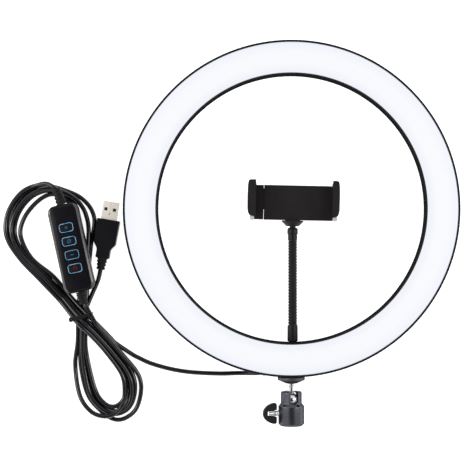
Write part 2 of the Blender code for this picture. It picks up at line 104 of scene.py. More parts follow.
# Cord and what is on it
CORD_D = 3.6
REMOTE_AT = (-170.5, -11.3, 13.0)
REMOTE_TURN = 12.3
REMOTE_SIZE = (24.0, 69.0)
REMOTE_CORNER = 5.8
BUTTON_SIZE = (11.6, 7.7)
BUTTON_YS = {"plus": 16.2, "mode": 5.5, "minus": -5.2, "power": -15.9}
PLUG_AT = (-149.0, -27.6, 4.3)
PLUG_TURN = -9.5
BOOT_AT = (-5.5, -127.2, 4.4)
BOOT_TURN = 3.0
RING_LEAD = (
    (-24.2, -109.0, 4.4), (-28.5, -109.2, 4.2), (-33, -109.3, 3.2), (-38, -109.4, 2.2),
    (-44, -109.5, 1.9), (-54, -109.8, 1.9), (-66, -109.5, 1.9), (-79.5, -108.6, 1.9),
    (-91, -106.9, 1.9), (-101.5, -104.4, 1.9), (-111.2, -101.3, 1.9), (-119.5, -97.4, 1.9),
    (-124.5, -94.7, 1.9),
)
REMOTE_LEAD = ((-185.6, 36.7, 13.0), (-188.5, 38.3, 12.0), (-192, 38.9, 10.4), (-196, 38.2, 9.0))
PLUG_LEAD = (
    (-149.1, -28.0, 4.3), (-149.8, -31.5, 3.6), (-150.8, -35, 2.6), (-152, -38.4, 2.0),
    (-153.2, -41.2, 1.9),
)
# Stations round the hank: its left edge, its right edge, and how far it is off the floor.
HANK = (
    ((-132, -125), (-115.5, -122), 0), ((-134, -111), (-119, -107), 0),
    ((-145, -94.5), (-133, -88), 2.5), ((-157, -80), (-147.5, -71.5), 7.6),
    ((-167, -70.5), (-158, -61), 9.4), ((-181, -55), (-172.5, -47), 0.7),
    ((-196.5, -38.5), (-185, -32.5), 1), ((-214, -19.5), (-201.5, -19.5), 0),
    ((-224.5, -1.5), (-210, -2.5), 0), ((-223, 17.5), (-207.5, 11), 0),
    ((-211.5, 34), (-198.5, 23), 0), ((-195, 40), (-188.5, 29), 0),
    ((-179.5, 38), (-180, 27), 0), ((-162.8, 29.6), (-173, 19), 0),
    ((-152.7, 13.5), (-171, 6.5), 0), ((-155.2, -10), (-170, -10), 0),
    ((-157.5, -37), (-167, -37), 0.6), ((-157.5, -62), (-168.5, -62), 2.0),
    ((-159, -85.5), (-169, -84), 0.6), ((-156, -104.5), (-171, -104.5), 0),
    ((-150.5, -124), (-166, -129), 0), ((-144, -132), (-152.5, -144), 0),
    ((-138.5, -133.5), (-136, -148.5), 0), ((-134, -130.5), (-121, -140), 0),
)
STRANDS = 6
STATION_PARTS = 6
LEAST_LIFT = 0.25
POINT_SPACING = 2.2
LONG_WANDER = 0.22
SHORT_WANDER = 0.1
TIE_R = 0.75
TIE_PARTS = 5
# Where the long cord lies in the hank: stations run so far, place between the left
# edge, 0, and the right edge, 5, and layer, from 0 on the floor.
LONG_WINDING = (
    (2.2, 5, 0), (19.0, 5, 0), (20.4, 5, 1.9), (22.8, 1, 1.9), (24.2, 1, 0),
    (35.8, 1, 0), (37.5, 0, 0), (39.5, 0, 0), (41, 1, 0), (44.8, 1, 0),
    (46.8, 2, 1), (60.0, 2, 1), (61.8, 1.7, 1), (63.2, 0.6, 1), (65.5, 2, 1), (68.8, 2, 1),
    (70.8, 3, 0), (84.5, 3, 0), (86, 4.2, 0), (87.5, 4.2, 0), (89.5, 3, 0), (92.6, 3, 0),
    (94.4, 5, 0), (96.6, 5, 0), (97.8, 4.4, 1), (99.2, 4.7, 1.15),
)
SHORT_WINDING = ((10.6, 0, 1), (5, 0, 1), (-2.0, 0, 1), (-6.2, 0, 1), (-7.2, 0.3, 0.5))

# Finishes, with scales in features per metre and the grain's depth in metres
CLOUD_SCALE = 90.0
HIGHLIGHT_PATCH_SCALE = 260.0
GRAIN_DEPTH = 0.0002
NOISE_RANGE = (0.3, 0.7)
COLOUR_STOPS = (0.32, 0.68)
DIFFUSER_GLOW = 0.83
# The diffuser's tint at places from its inner edge, 0, to its outer edge, 1.
DIFFUSER_STOPS = (
    (0.0, (0.86, 0.88, 0.96)), (0.30, (0.965, 0.975, 1.0)), (0.62, (0.965, 0.975, 1.0)),
    (0.88, (0.90, 0.92, 0.985)), (1.0, (0.72, 0.76, 0.88)),
)

# Stage, in metres and watts
FLOOR_HALF = 3.0
FLOOR_GLOW = 0.93
LIGHT_AIM = (-0.05, 0, 0)
LIGHT_SIZE = (0.25, 1.3)
SIDE_LIGHTS = {
    "left_box": ((-0.95, 0.10, 0.60), 6.0),
    "right_box": ((0.85, 0.05, 0.60), 4.5),
}
# The dome of light is dark within the first angle of this direction, and pale past the second.
DARK_TOP = (0.105, 0.0, 0.9945)
DARK_TOP_REACH = (21, 34)
DOME_POWER = (0.03, 0.80)
SENSOR_WIDTH = 36.0
LENS = 100.7
LENS_SHIFT = -0.065
CAMERA_AT = (-0.0222, 0.0008, 1.022)
CAMERA_RANGE = (0.05, 20.0)


def turned(degrees, axis):
    return Matrix.Rotation(math.radians(degrees), 4, axis)


ALONG_Y = turned(-90, "X")
TO_SCREW = Matrix.Translation((0, CLAMP_SCREW_H, 0)) @ turned(-90, "Y")
RING = Matrix.Translation((0, RING_Y, 0))
HEAD = Matrix.Translation((0, RING_Y + BALL_Y, AXIS_Z)) @ turned(SLOT_TURN, "Y")
KNOB = HEAD @ TO_SCREW
ARM = Matrix.Translation((ARM_X, RING_Y, AXIS_Z))
CLAMP = ARM @ Matrix.Translation((0, CLAMP_BALL_Y, 0)) @ turned(CLAMP_TURN, "Z")
REMOTE = Matrix.Translation(REMOTE_AT) @ turned(REMOTE_TURN, "Z")
PLUG = Matrix.Translation(PLUG_AT) @ turned(PLUG_TURN, "Z")


# ---------------------------------------------------------------- finishes

def link(tree, source, target):
    tree.links.new(source, target)


def noise(tree, coords, scale, detail=3.0, stretch=(1, 1, 1)):
    """A noise texture whose scale is in features per metre."""
    mapping = tree.nodes.new("ShaderNodeMapping")
    mapping.inputs["Scale"].default_value = stretch
    texture = tree.nodes.new("ShaderNodeTexNoise")
    texture.inputs["Scale"].default_value = scale
    texture.inputs["Detail"].default_value = detail
    link(tree, coords.outputs["Object"], mapping.inputs["Vector"])
    link(tree, mapping.outputs["Vector"], texture.inputs["Vector"])
    return texture.outputs["Fac"]


def spread(tree, value, low, high):
    """Maps the middle of a noise value to the range from low to high."""
    node = tree.nodes.new("ShaderNodeMapRange")
    node.inputs["From Min"].default_value = NOISE_RANGE[0]
    node.inputs["From Max"].default_value = NOISE_RANGE[1]
    node.inputs["To Min"].default_value = low
    node.inputs["To Max"].default_value = high
    link(tree, value, node.inputs["Value"])
    return node.outputs["Result"]


def blend_colours(tree, value, first, second):
    ramp = tree.nodes.new("ShaderNodeValToRGB")
    for element, position, colour in zip(ramp.color_ramp.elements, COLOUR_STOPS, (first, second)):
        element.position = position
        element.color = (*colour, 1)
    link(tree, value, ramp.inputs["Fac"])
    return ramp.outputs["Color"]


def surface(name, colour, roughness, metallic=0.0, mottle=0.15, grain=1500.0, bump=0.12,
            rough_spread=0.06, stretch=(1, 1, 1), specular=0.5, edge=1.0):
    """A finish with cloudy colour, uneven gloss and a fine grain."""
    made = bpy.data.materials.new(name)
    made.use_nodes = True
    tree = made.node_tree
    shader = tree.nodes["Principled BSDF"]
    shader.inputs["Metallic"].default_value = metallic
    shader.inputs["Specular IOR Level"].default_value = specular
    shader.inputs["Specular Tint"].default_value = (edge, edge, edge, 1)
    coords = tree.nodes.new("ShaderNodeTexCoord")
    clouds = noise(tree, coords, CLOUD_SCALE)
    fine = noise(tree, coords, grain, 4.0, stretch)
    darker = [max(0.0, channel * (1 - mottle)) for channel in colour]
    lighter = [min(1.0, channel * (1 + mottle)) for channel in colour]
    link(tree, blend_colours(tree, clouds, darker, lighter), shader.inputs["Base Color"])
    link(tree, spread(tree, fine, roughness - rough_spread, roughness + rough_spread),
         shader.inputs["Roughness"])
    relief = tree.nodes.new("ShaderNodeBump")
    relief.inputs["Strength"].default_value = bump
    relief.inputs["Distance"].default_value = GRAIN_DEPTH
    link(tree, fine, relief.inputs["Height"])
    link(tree, relief.outputs["Normal"], shader.inputs["Normal"])
    return made


def diffuser_surface():
    """Milky plastic lit from behind: even, and a little dimmer towards both rims."""
    made = surface("lit_diffuser", (0.12, 0.12, 0.13), 0.5, mottle=0.02, grain=2500, bump=0.03)
    tree = made.node_tree
    shader = tree.nodes["Principled BSDF"]
    shader.inputs["Emission Strength"].default_value = DIFFUSER_GLOW
    coords = tree.nodes.new("ShaderNodeTexCoord")
    flat = tree.nodes.new("ShaderNodeVectorMath")
    flat.operation = "MULTIPLY_ADD"
    flat.inputs[1].default_value = (1, 1, 0)
    flat.inputs[2].default_value = (0, -RING_Y * MM, 0)
    length = tree.nodes.new("ShaderNodeVectorMath")
    length.operation = "LENGTH"
    ramp = tree.nodes.new("ShaderNodeValToRGB")
    reach = tree.nodes.new("ShaderNodeMapRange")
    reach.inputs["From Min"].default_value = HOLE_R * MM
    reach.inputs["From Max"].default_value = RING_R * MM
    elements = ramp.color_ramp.elements
    while len(elements) < len(DIFFUSER_STOPS):
        elements.new(0.5)
    for element, (position, colour) in zip(elements, DIFFUSER_STOPS):
        element.position = position
        element.color = (*colour, 1)
    link(tree, coords.outputs["Object"], flat.inputs[0])
    link(tree, flat.outputs["Vector"], length.inputs[0])
    link(tree, length.outputs["Value"], reach.inputs["Value"])
    link(tree, reach.outputs["Result"], ramp.inputs["Fac"])
    link(tree, ramp.outputs["Color"], shader.inputs["Emission Color"])
    return made


def print_with_painted_glow(name, dim, painted_highlight, painted_glow):
    """Printed marks with a painted glow, and painted highlights in patches where they are brighter.
    """
    made = surface(name, dim, 0.4, grain=3000, bump=0.02, specular=0.14)
    tree = made.node_tree
    shader = tree.nodes["Principled BSDF"]
    coords = tree.nodes.new("ShaderNodeTexCoord")
    # Painted glow: the print is no lamp, and its brighter patches are painted highlights.
    highlight_patches = noise(tree, coords, HIGHLIGHT_PATCH_SCALE)
    link(tree, blend_colours(tree, highlight_patches, dim, painted_highlight), shader.inputs["Emission Color"])
    shader.inputs["Emission Strength"].default_value = painted_glow
    return made


FINISHES = {
    "shell_black": surface("shell_black_finish", (0.010, 0.010, 0.011), 0.45, bump=0.10,
                           specular=0.14),
    "wall_black": surface("wall_black_finish", (0.012, 0.012, 0.013), 0.7, bump=0.08,
                          specular=0.0),
    "board_white": surface("board_white_finish", (0.78, 0.79, 0.76), 0.5),
    "steel": surface("steel_finish", (0.60, 0.60, 0.61), 0.30, 1.0, stretch=(1, 8, 1)),
    "usb_steel": surface("usb_steel_finish", (0.985, 0.91, 0.815), 0.42, 0.20, 0.04, 1200, 0.05,
                         stretch=(8, 1, 1)),
    "chrome": surface("chrome_finish", (0.86, 0.86, 0.88), 0.16, 1.0, 0.04, 2000, 0.02, 0.03),
    "brass": surface("brass_finish", (0.66, 0.47, 0.20), 0.32, 1.0, 0.12, 900, 0.06),
    "head_black": surface("head_black_finish", (0.088, 0.090, 0.104), 0.27, 0.85, 0.12, 2600, 0.10,
                          edge=0.15),
    "arm_black": surface("arm_black_finish", (0.008, 0.008, 0.008), 0.38, 0.0, 0.2, 1600, 0.08,
                         specular=0.18),
    "clamp_black": surface("clamp_black_finish", (0.014, 0.012, 0.012), 0.46, 0.0, 0.12, 2400, 0.22,
                           specular=0.18),
    "grey_plastic": surface("grey_plastic_finish", (0.50, 0.50, 0.51), 0.45),
    "nylon": surface("nylon_finish", (0.78, 0.77, 0.72), 0.5),
    "rubber_black": surface("rubber_black_finish", (0.010, 0.010, 0.011), 0.50, 0.0, 0.2, 1400, 0.18,
                            specular=0.16),
    "remote_black": surface("remote_black_finish", (0.005, 0.0045, 0.0065), 0.30, 0.0, 0.15, 3000,
                            0.05, specular=0.16),
    # A lighter copy of the remote's black for its long bevels: glossier, and its lighter colour is
    # painted sheen.
    "remote_painted_sheen": surface("remote_painted_sheen_finish", (0.07, 0.066, 0.07), 0.20, 0.0, 0.15, 3000, 0.03,
                           specular=0.60),
    "disc_black": surface("disc_black_finish", (0.096, 0.096, 0.103), 0.40, 0.85, 0.25, 1500, 0.20,
                          edge=0.15),
    "button_black": surface("button_black_finish", (0.007, 0.007, 0.009), 0.35, 0.0, 0.15, 3000, 0.05,
                            specular=0.14),
    "cord_black": surface("cord_black_finish", (0.005, 0.005, 0.007), 0.16, 0.0, 0.18, 700, 0.04,
                          specular=0.52),
    "plug_black": surface("plug_black_finish", (0.006, 0.0055, 0.0075), 0.42, 0.0, 0.15, 2600, 0.20,
                          specular=0.12),
    "board_green": surface("board_green_finish", (0.03, 0.18, 0.08), 0.35),
    "socket_dark": surface("socket_dark_finish", (0.006, 0.006, 0.007), 0.6),
    "diffuser_white": diffuser_surface(),
    # The print on the keys glows with painted light, though it is no lamp.
    "line_blue": print_with_painted_glow("line_blue_painted_glow", (0.03, 0.16, 0.36), (0.50, 0.85, 1.0), 0.95),
    "icon_blue": print_with_painted_glow("icon_blue_painted_glow", (0.01, 0.04, 0.10), (0.08, 0.35, 0.65), 0.35),
    "icon_red": print_with_painted_glow("icon_red_painted_glow", (0.10, 0.008, 0.004), (0.42, 0.05, 0.02), 0.40),
}
NODE_FINISH = {
    "led_board": "board_white", "inner_lead": "cord_black", "head_insert": "brass",
    "arm_insert": "brass", "base_insert": "brass", "ball_cup": "nylon", "pressure_pad": "steel",
    "socket_liner": "nylon", "clamp_back_cover": "clamp_black", "jaw_spring_1": "steel",
    "jaw_spring_2": "steel", "remote_board": "board_green", "usb_tongue": "nylon",
    "board_screw_1": "steel", "board_screw_2": "steel", "board_screw_3": "steel",
    "board_screw_4": "steel",
}


# ---------------------------------------------------------------- mesh tools

def dress(obj, finish):
    obj.data.materials.clear()
    obj.data.materials.append(FINISHES[finish])


def round_edges(obj, width, segments=2, angle=40):
    rounding = obj.modifiers.new("rounding", "BEVEL")
    rounding.width = width * MM
    rounding.segments = segments
    rounding.limit_method = "ANGLE"
    rounding.angle_limit = math.radians(angle)
    rounding.harden_normals = True


def new_piece(name, bm, body, finish, at, replaces=(), bevel=0.0, sharp=35):
    """Turns a bmesh drawn in millimetres in the frame at into a piece on a body."""
    bmesh.ops.remove_doubles(bm, verts=bm.verts, dist=0.001)
    bmesh.ops.recalc_face_normals(bm, faces=bm.faces)
    bm.transform(Matrix.Scale(MM, 4) @ at)
    mesh = bpy.data.meshes.new(name)
    bm.to_mesh(mesh)
    bm.free()
    mesh.shade_smooth()
    mesh.set_sharp_from_angle(angle=math.radians(sharp))
    obj = bpy.data.objects.new(name, mesh)
    bpy.context.scene.collection.objects.link(obj)
    dress(obj, finish)
    if bevel:
        round_edges(obj, bevel, 3, 30)
    if body:
        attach(obj, body)
    if replaces:
        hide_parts(*replaces)
    return obj


def soften(profile, radius, closed=False, parts=4):
    """Rounds each corner of a profile with a short curve."""
    points = [Vector((*point, 0)) for point in profile]
    count = len(points)
    made = []
    for i, here in enumerate(points):
        if not closed and i in (0, count - 1):
            made.append(here)
            continue
        before, after = points[i - 1], points[(i + 1) % count]
        first = here + (before - here).normalized() * min(radius, (before - here).length * 0.45)
        last = here + (after - here).normalized() * min(radius, (after - here).length * 0.45)
        for k in range(parts + 1):
            t = k / parts
            made.append(first * (1 - t) ** 2 + here * 2 * t * (1 - t) + last * t**2)
    return [(point.x, point.y) for point in made]


def arc(centre, radius, first, last, count):
    """Points (x, y) on an arc, from the first to the last angle in degrees."""
    angles = [math.radians(first + (last - first) * i / (count - 1)) for i in range(count)]
    return [(centre[0] + radius * math.cos(a), centre[1] + radius * math.sin(a)) for a in angles]


def lathe(profile, steps=64, along=Matrix()):
    """A solid of revolution about local Z, from (radius, height) points."""
    bm = bmesh.new()
    verts = [bm.verts.new((radius, 0, height)) for radius, height in profile]
    edges = [bm.edges.new(pair) for pair in zip(verts, verts[1:])]
    if profile[0][0] > 0:
        edges.append(bm.edges.new((verts[-1], verts[0])))
    bmesh.ops.spin(bm, geom=verts + edges, cent=(0, 0, 0), axis=(0, 0, 1),
                   angle=math.tau, steps=steps, use_merge=True)
    bm.transform(along)
    return bm


def slab(outline, low, high):
    """A flat outline raised from one height to another."""
    bm = bmesh.new()
    face = bm.faces.new([bm.verts.new((x, y, low)) for x, y in outline])
    raised = bmesh.ops.extrude_face_region(bm, geom=[face])["geom"]
    moved = [item for item in raised if isinstance(item, bmesh.types.BMVert)]
    bmesh.ops.translate(bm, vec=(0, 0, high - low), verts=moved)
    return bm


def rounded_rect(width, height, radius, parts=6, centre=(0, 0)):
    points = []
    corners = ((1, 1, 0), (-1, 1, 90), (-1, -1, 180), (1, -1, 270))
    for side_x, side_y, start in corners:
        x = centre[0] + side_x * (width / 2 - radius)
        y = centre[1] + side_y * (height / 2 - radius)
        points += arc((x, y), radius, start, start + 90, parts + 1)
    return points


def stacked(rings):
    """A closed body through rings of points that all have the same count."""
    bm = bmesh.new()
    rows = [[bm.verts.new(point) for point in ring] for ring in rings]
    count = len(rows[0])
    for low, high in zip(rows, rows[1:]):
        for k in range(count):
            n = (k + 1) % count
            bm.faces.new((low[k], low[n], high[n], high[k]))
    bm.faces.new(list(reversed(rows[0])))
    bm.faces.new(rows[-1])
    return bm


def layered(width, height, radius, levels, centre=(0, 0), parts=6):
    """A rounded rectangle that is inset by so much at each of its heights."""
    rings = []
    for inset, z in levels:
        corner = max(radius - inset, 0.05)
        flat = rounded_rect(width - 2 * inset, height - 2 * inset, corner, parts, centre)
        rings.append([(x, y, z) for x, y in flat])
    return stacked(rings)


def pillow(width, height, radius, low, high, edge, centre=(0, 0), both=False, parts=6):
    """A rounded rectangle between two heights, rounded over at its top or at both ends."""
    steps = [(edge * (1 - math.cos(a)), high - edge + edge * math.sin(a))
             for a in (math.radians(angle) for angle in (0, 22, 45, 68, 90))]
    below = [(inset, low + high - z) for inset, z in reversed(steps)] if both else [(0, low)]
    return layered(width, height, radius, below + steps, centre, parts)


def box_mesh(low, high):
    bm = bmesh.new()
    size = Vector(high) - Vector(low)
    middle = (Vector(high) + Vector(low)) / 2
    bmesh.ops.create_cube(bm, matrix=Matrix.Translation(middle) @ Matrix.Diagonal((*size, 1)))
    return bm


def cut(obj, tools, at, operation="DIFFERENCE"):
    """Cuts each bmesh tool, drawn in the frame at, from the piece, or joins it."""
    helpers = []
    for tool in tools:
        helper = new_piece("cutter", tool, None, "socket_dark", at)
        change = obj.modifiers.new("shape", "BOOLEAN")
        change.operation = operation
        change.solver = "EXACT"
        change.object = helper
        helpers.append(helper)
    bpy.context.view_layer.update()
    ready = obj.evaluated_get(bpy.context.evaluated_depsgraph_get())
    mesh = bpy.data.meshes.new_from_object(ready)
    for change in list(obj.modifiers):
        obj.modifiers.remove(change)
    obj.data = mesh
    mesh.shade_smooth()
    mesh.set_sharp_from_angle(angle=math.radians(30))
    for helper in helpers:
        bpy.data.objects.remove(helper, do_unlink=True)
    return obj


# ---------------------------------------------------------------- ring

def ring_profile():
    """The housing's section: rims, back, hole wall, and the room for the board."""
    inner_lip = HOLE_R + RIM_WALL
    outer_lip = RING_R - OUTER_RIM_WALL
    points = [(RING_R, RIM_Z), (RING_R, 17.6), (129.6, 17.5), (129.6, 17.2), (RING_R, 17.1)]
    points += [(129.0, 11.0), (127.2, 7.2), (123.8, 3.2), (118.5, 0.6), (114.0, 0), (106.0, 0)]
    points += [(104.5, 0.3), (HOLE_R, 1.6), (HOLE_R, 16.9), (104.3, 17.0), (104.3, 17.3)]
    points += [(HOLE_R, 17.4), (HOLE_R, RIM_Z), (inner_lip, RIM_Z), (inner_lip, LEDGE_Z)]
    points += [(106, LEDGE_Z), (106, 3.7), (110.5, 3.7), (110.5, 2), (119.5, 2), (119.5, 3.7)]
    points += [(122, 3.7), (126.2, 10), (127.8, 17), (127.8, LEDGE_Z), (outer_lip, LEDGE_Z)]
    points.append((outer_lip, RIM_Z))
    return soften(points, 0.25, closed=True, parts=2)


def vent_tools():
    """Two rows of seven slots in the back, to either side of the mount."""
    vents = []
    for side in (-1, 1):
        for k in range(7):
            tool = pillow(1.6, 8.5, 0.79, -1, 0.9, 0.05, (0, -112), parts=4)
            tool.transform(turned(side * (14 + 3.2 * k), "Z"))
            vents.append(tool)
    return vents


def ring_pieces():
    housing = new_piece("ring_housing", lathe(ring_profile(), ROUND_STEPS), "ring", "shell_black",
                        RING, ["rear_shell"], sharp=40)
    # The hole's wall is matt, unlike the rest of the housing.
    housing.data.materials.append(FINISHES["wall_black"])
    for face in housing.data.polygons:
        middle = face.center / MM
        in_hole = math.hypot(middle.x, middle.y - RING_Y) < HOLE_R + 0.4
        if in_hole and middle.z < RIM_Z - 0.3:
            face.material_index = 1
    cut(housing, vent_tools(), RING)
    block = box_mesh((-9, -130.2, 0.8), (9, -104.6, 17.5))
    new_piece("mount_block", block, "ring", "shell_black", RING, (), bevel=0.9)
    low = HOLE_R + RIM_WALL + 0.05
    high = RING_R - OUTER_RIM_WALL - 0.05
    lens = [(high, LEDGE_Z + GAP), (low, LEDGE_Z + GAP), (low, 21.4), (low + 1.2, 21.9)]
    lens += [(low + 7, 22.3), (high - 7, 22.3), (high - 1.2, 21.9), (high, 21.4)]
    new_piece("ring_diffuser", lathe(soften(lens, 0.5, closed=True), ROUND_STEPS), "ring",
              "diffuser_white", RING, ["diffuser"], sharp=50)


# ---------------------------------------------------------------- ball head

def head_pieces():
    # The nut's face is hollow in the middle, so that it clears the brass insert in the ring.
    disc = [(3.1, 16.9), (5.2, 16.9), (5.2, 17.7)]
    disc += soften([(10.1, 17.7), (10.6, 17.3), (10.5, 15.3), (4.6, 12.6), (3.1, 12.4)], 0.35)
    new_piece("lock_nut", lathe(disc, 96, ALONG_Y), "disc", "disc_black", HEAD, ["lock_disc"])
    stem = [(0, 26.6), (2.6, 26.6), (3.0, 26.0), (3.0, 10.6), (2.45, 10.3)]
    stem = soften(stem, 0.3) + arc((0, 0), BALL_R, 66.7, -90, 33)
    stem[-1] = (0, -BALL_R)
    new_piece("ball_and_stem", lathe(stem, 64, ALONG_Y), "stud", "chrome", HEAD, ["ball_stud"])
    housing = new_piece("slotted_housing", lathe(housing_profile(), 96, ALONG_Y), "head",
                        "head_black", HEAD, ["head_housing"])
    cut(housing, housing_holes(), HEAD)


def housing_profile():
    """The ball head's section: the ball's cavity inside, the neck and base outside."""
    pocket_end = -math.degrees(math.acos((PAD_R + GAP) / POCKET_R))
    inside = [(0, -12.7), (PAD_R + GAP, -12.7)] + arc((0, 0), POCKET_R, pocket_end, -33, 9)
    inside += arc((0, 0), CAVITY_R, -33, 41.5, 17)
    outside = [(5.1, 6.2), (7.55, 6.2), (NECK_R, 5.6), (NECK_R, -2.9), (HEAD_R, -5.1)]
    outside += [(HEAD_R, -18.8), (8.4, HEAD_BOTTOM), (0, HEAD_BOTTOM)]
    return inside + soften(outside, 0.5)


def housing_holes():
    """The slot, the lock screw's hole, the base's bore and a small set screw's hole."""
    half = SLOT_WIDTH / 2
    slot = slab([(half, 8), (-half, 8)] + arc((0, 0), half, 180, 360, 17), 2.0, 11.0)
    screw_hole = lathe([(0, 12), (2.2, 12), (2.2, 2), (0, 2)], 32, TO_SCREW)
    base_hole = lathe([(0, -13.8), (4.4, -13.8), (4.4, -21), (0, -21)], 32, ALONG_Y)
    facing = Vector(SET_SCREW_FACING).normalized()
    turn = Vector((0, 0, 1)).rotation_difference(facing).to_matrix().to_4x4()
    set_hole = lathe([(0, 12), (0.85, 12), (0.85, 8.0), (0, 8.0)], 24,
                     Matrix.Translation((0, SET_SCREW_H, 0)) @ turn)
    return [slot, screw_hole, base_hole, set_hole]


def knob_pieces():
    screw = soften([(0.6, -1), (1.9, 1.2), (1.9, 9.4), (1.3, 9.4), (1.3, 17.9), (0.9, 18.3)], 0.15)
    new_piece("knob_screw", lathe([(0, -1)] + screw + [(0, 18.3)], 48), "screw", "chrome", KNOB,
              ["clamp_screw"])
    sleeve = [(1.55, 10.2), (2.25, 10.2), (2.45, 10.9), (2.1, 11.3), (2.1, 13.2)]
    sleeve += [(2.45, 13.6), (2.2, 14.4), (1.55, 14.4)]
    new_piece("knob_sleeve", lathe(soften(sleeve, 0.15, closed=True), 48), "knob", "steel", KNOB,
              ["screw_sleeve"])
    angles = [math.radians(degrees) for degrees in range(-75, 76, 5)]
    rim = [(12.3, -7.6), (13.2, -8.1)]
    rim += [(12 + 10.9 * math.cos(angle), 8.3 * math.sin(angle)) for angle in angles]
    rim += [(13.2, 8.1), (12.3, 7.6)]
    slot = [(12, 6.6), (12, 2.6), (14.6, 2.6), (14.6, 1.65), (19.3, 1.65)]
    wing = slab(rim + slot + [(x, -y) for x, y in reversed(slot)], -1.7, 1.7)
    wing.transform(turned(-90, "Y"))
    new_piece("wing", wing, "knob", "shell_black", KNOB, ["wing_knob"], bevel=0.55)


# ---------------------------------------------------------------- gooseneck

def ridge_radius(height, turn):
    """The neck's radius: a strip wound round it stands proud once every pitch."""
    wave = 0.5 + 0.5 * math.cos(math.tau * height / COIL_PITCH - turn)
    return COIL_CORE_R + COIL_RIDGE * wave**0.7


def neck_section(number):
    """The neck from the middle of one link to the middle of the next, across a joint."""
    joint = LINK_FIRST_Y + (number - 1) * LINK_LENGTH
    low = joint - (0.8 if number == 1 else LINK_LENGTH / 2)
    high = joint + LINK_LENGTH * (1.0 if number == LINKS else 0.5)
    rows = max(2, round((high - low) / COIL_PITCH * 8))
    sides = 28
    rings = []
    for row in range(rows + 1):
        height = low + (high - low) * row / rows
        ring = []
        for side in range(sides):
            turn = math.tau * side / sides
            radius = ridge_radius(height, turn)
            ring.append((radius * math.cos(turn), height, -radius * math.sin(turn)))
        rings.append(ring)
    piece = new_piece(f"neck_{number}", stacked(rings), None, "arm_black", ARM,
                      [f"arm_link_{number}"], sharp=60)
    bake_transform(piece)


def gooseneck_pieces():
    for number in range(1, LINKS + 1):
        neck_section(number)
    lower = [(2.7, -112), (2.7, -103), (3.6, -103), (4.1, -102.4), (4.05, -90.7), (3.6, -90.2)]
    foot = [(0, -112)] + soften(lower, 0.3) + [(0, -90.2)]
    new_piece("neck_foot", lathe(foot, 64, ALONG_Y), "arm_base", "arm_black", ARM,
              ["arm_ferrule_lower"])
    end = LINK_FIRST_Y + LINKS * LINK_LENGTH
    upper = [(3.35, end + 0.05), (3.7, end + 0.5), (3.7, -19.9), (4.15, -19.6), (4.15, -16.0)]
    upper += [(3.6, -14.9), (2.4, -14.75)]
    ball = arc((0, CLAMP_BALL_Y), CLAMP_BALL_R, -55, 90, 21)
    ball[-1] = (0, CLAMP_BALL_Y + CLAMP_BALL_R)
    top = [(0, end + 0.05)] + soften(upper, 0.3) + ball
    new_piece("neck_head", lathe(top, 64, ALONG_Y), "arm_8", "arm_black", ARM,
              ["arm_ferrule_upper"])


# ---------------------------------------------------------------- phone clamp

def jaw_outline(side, inner):
    """A jaw seen from the front: bowed on its outer side, with a square inner side."""
    outer = JAW_OUTER[side > 0]
    bow = [(outer - 1.9, JAW_TOP), (outer - 0.7, JAW_TOP - 0.8), (outer - 0.2, JAW_TOP - 4)]
    bow += [(outer, JAW_TOP - 12), (outer - 0.1, JAW_BOTTOM + 5)]
    bow += [(outer - 0.8, JAW_BOTTOM + 1.8), (outer - 2.2, JAW_BOTTOM)]
    points = [(inner[side > 0], JAW_TOP)] + bow + [(inner[side > 0], JAW_BOTTOM)]
    return [(side * x, y) for x, y in soften(points, 1.2)]


def clamp_pieces():
    fixed_jaw_piece()
    sliding_jaw_piece()
    for side, x, host in (("left", -29.1, "jaw"), ("right", 30.5, "clamp")):
        pad_piece(side, x, host)
    for side, x, host in (("left", -31.6, "jaw"), ("right", 32.2, "clamp")):
        foot = pillow(3.4, 3.4, 1.2, 8.5, 17, 0.6, (x, 0.5), both=True)
        new_piece(f"corner_foot_{side}", foot, host, "grey_plastic", CLAMP, [f"jaw_foot_{side}"])
    collar = [(6.2, -0.95), (8.1, -0.95), (8.35, -1.25), (8.35, -1.9), (4.9, -5.4)]
    collar += [(4.1, -5.4), (4.1, -4.7), (6.2, -3.2)]
    new_piece("grip_collar", lathe(soften(collar, 0.3, closed=True), 72, ALONG_Y), "collar",
              "clamp_black", CLAMP, ["lock_collar"])


def fixed_jaw_piece():
    """The plate with its fixed jaw, the ball's socket below and room for the slider."""
    plate = box_mesh((PLATE_LEFT, PLATE_BOTTOM, -PLATE_HALF), (PLATE_RIGHT, PLATE_TOP, PLATE_HALF))
    body = new_piece("clamp_plate", plate, "clamp", "clamp_black", CLAMP, ["clamp_body"])
    jaw = slab(jaw_outline(1, JAW_INNER), -PLATE_HALF + 0.05, JAW_FRONT)
    lip = slab(jaw_outline(1, LIP_INNER), LIP_LOW, JAW_FRONT + 0.02)
    neck = lathe([(0, 0.4), (5.9, 0.4), (5.9, -2.9), (0, -2.9)], 48, ALONG_Y)
    cut(body, [jaw, lip, neck], CLAMP, "UNION")
    socket = [(0, 5.2)] + arc((0, 0), 5.2, 80, -33.9, 16) + [(4.316, -4), (0, -4)]
    room = box_mesh((-24, 7, -7), (28.6, 24, 3.5))
    cut(body, [lathe(socket, 48, ALONG_Y), room], CLAMP)
    round_edges(body, 0.5)


def sliding_jaw_piece():
    """The sliding jaw, with the carrier that runs in the plate."""
    jaw = slab(jaw_outline(-1, JAW_INNER), -PLATE_HALF, JAW_FRONT)
    slide = new_piece("sliding_jaw", jaw, "jaw", "clamp_black", CLAMP, ["slide_jaw"])
    carrier = box_mesh((-30.2, PLATE_BOTTOM + 0.1, -PLATE_HALF + 0.05),
                       (PLATE_LEFT - GAP, PLATE_TOP - 0.1, PLATE_HALF - 0.05))
    slider = box_mesh((-24, 7.4, -3.8), (13, 23.6, 3.2))
    lip = slab(jaw_outline(-1, LIP_INNER), LIP_LOW, JAW_FRONT + 0.02)
    cut(slide, [carrier, slider, lip], CLAMP, "UNION")
    round_edges(slide, 0.4)


